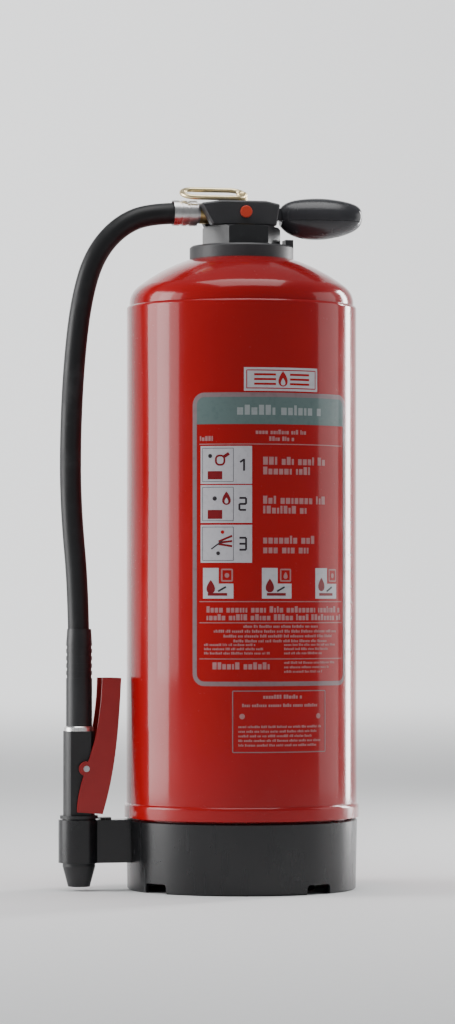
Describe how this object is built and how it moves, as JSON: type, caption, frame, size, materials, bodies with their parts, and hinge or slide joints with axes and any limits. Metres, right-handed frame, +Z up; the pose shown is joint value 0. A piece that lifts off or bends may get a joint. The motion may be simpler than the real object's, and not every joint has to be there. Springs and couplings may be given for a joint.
{
  "type": "fire extinguisher",
  "caption": "Floor-standing powder fire extinguisher with red tank, black foot, carrying handle, pull loop, side hose and a hose pistol with a red lever in a foot holder.",
  "frame": {"origin": "on the axis of the tank, on the floor plane that the foot stands on", "axes": "+Z up along the tank axis, +X towards the carrying handle, -X towards the hose and pistol, -Y towards the printed front"},
  "size_m": [0.2543, 0.1932, 0.5798],
  "materials": {
    "red_paint": "gloss",
    "powder": "matte",
    "foot_plastic": "satin",
    "head_plastic": "satin",
    "handle_plastic": "satin",
    "nut_metal": "satin",
    "seal_rubber": "matte",
    "brass_metal": "satin",
    "zinc_steel": "satin",
    "bright_alloy": "satin",
    "button_plastic": "gloss",
    "safety_gold": "satin",
    "hose_rubber": "matte",
    "pistol_plastic": "satin",
    "lever_plastic": "satin"
  },
  "bodies": {
    "tank": {"bottom_dome": "red_paint", "bottom_seam": "red_paint", "cartridge_seal": "seal_rubber", "foot_ring": "foot_plastic", "gas_cartridge": "zinc_steel", "gas_tube": "zinc_steel", "head_housing": "head_plastic", "hinge_pin": "zinc_steel", "hose": "hose_rubber", "hose_ferrule": "bright_alloy", "hose_nipple": "zinc_steel", "neck_boss": "red_paint", "neck_ring": "head_plastic", "neck_seal": "seal_rubber", "nozzle_holder": "foot_plastic", "piercing_spring": "zinc_steel", "pin_guide": "brass_metal", "powder_charge": "powder", "relief_spring": "zinc_steel", "riser_foot": "foot_plastic", "riser_tube": "zinc_steel", "tank_shell": "red_paint", "top_dome": "red_paint", "top_seam": "red_paint", "union_nut": "nut_metal", "valve_core": "brass_metal"},
    "handle": {"handle_upper": "handle_plastic", "handle_lower": "handle_plastic", "handle_screw_1": "zinc_steel", "handle_screw_2": "zinc_steel"},
    "piercer": {"piercing_pin": "zinc_steel"},
    "safety": {"safety_pin": "safety_gold", "safety_loop": "safety_gold"},
    "relief": {"relief_button": "button_plastic"},
    "pistol": {"pistol_body": "pistol_plastic", "pistol_nozzle": "pistol_plastic", "inlet_tube": "zinc_steel", "pistol_collar": "bright_alloy", "pistol_grip": "pistol_plastic", "lever_pin_front": "zinc_steel", "lever_pin_back": "zinc_steel", "valve_spring": "zinc_steel"},
    "lever": {"squeeze_lever": "lever_plastic"},
    "stem": {"valve_stem": "zinc_steel"}
  },
  "joints": [
    {"name": "handle_lift", "type": "hinge", "parent": "tank", "child": "handle", "pos_m": [0.019, 0, 0.55608], "axis": [0, -1, 0], "range_deg": [0, 18], "stiffness_Nm_per_rad": 0.5, "springref_deg": -8.59},
    {"name": "piercer_push", "type": "slide", "parent": "tank", "child": "piercer", "axis": [0, 0, -1], "range_m": [0, 0.0038], "stiffness_N_per_m": 900, "deforming": ["piercing_spring"]},
    {"name": "safety_pull", "type": "slide", "parent": "tank", "child": "safety", "axis": [0, 0, 1], "range_m": [0, 0.035]},
    {"name": "relief_press", "type": "slide", "parent": "tank", "child": "relief", "axis": [0, 1, 0], "range_m": [0, 0.0025], "stiffness_N_per_m": 600, "deforming": ["relief_spring"]},
    {"name": "pistol_lift", "type": "slide", "parent": "tank", "child": "pistol", "axis": [0, 0, 1], "range_m": [0, 0.06], "deforming": ["hose"]},
    {"name": "lever_squeeze", "type": "hinge", "parent": "pistol", "child": "lever", "pos_m": [-0.132, 0, 0.1], "axis": [0, -1, 0], "range_deg": [0, 12], "stiffness_Nm_per_rad": 0.6, "springref_deg": -14.32},
    {"name": "stem_push", "type": "slide", "parent": "pistol", "child": "stem", "axis": [-1, 0, 0], "range_m": [0, 0.005], "stiffness_N_per_m": 150, "deforming": ["valve_spring"]}
  ],
  "couplings": [
    {"joint": "piercer_push", "follows": "handle_lift", "m_per_rad": 0.012},
    {"joint": "stem_push", "follows": "lever_squeeze", "m_per_rad": 0.0225}
  ]
}
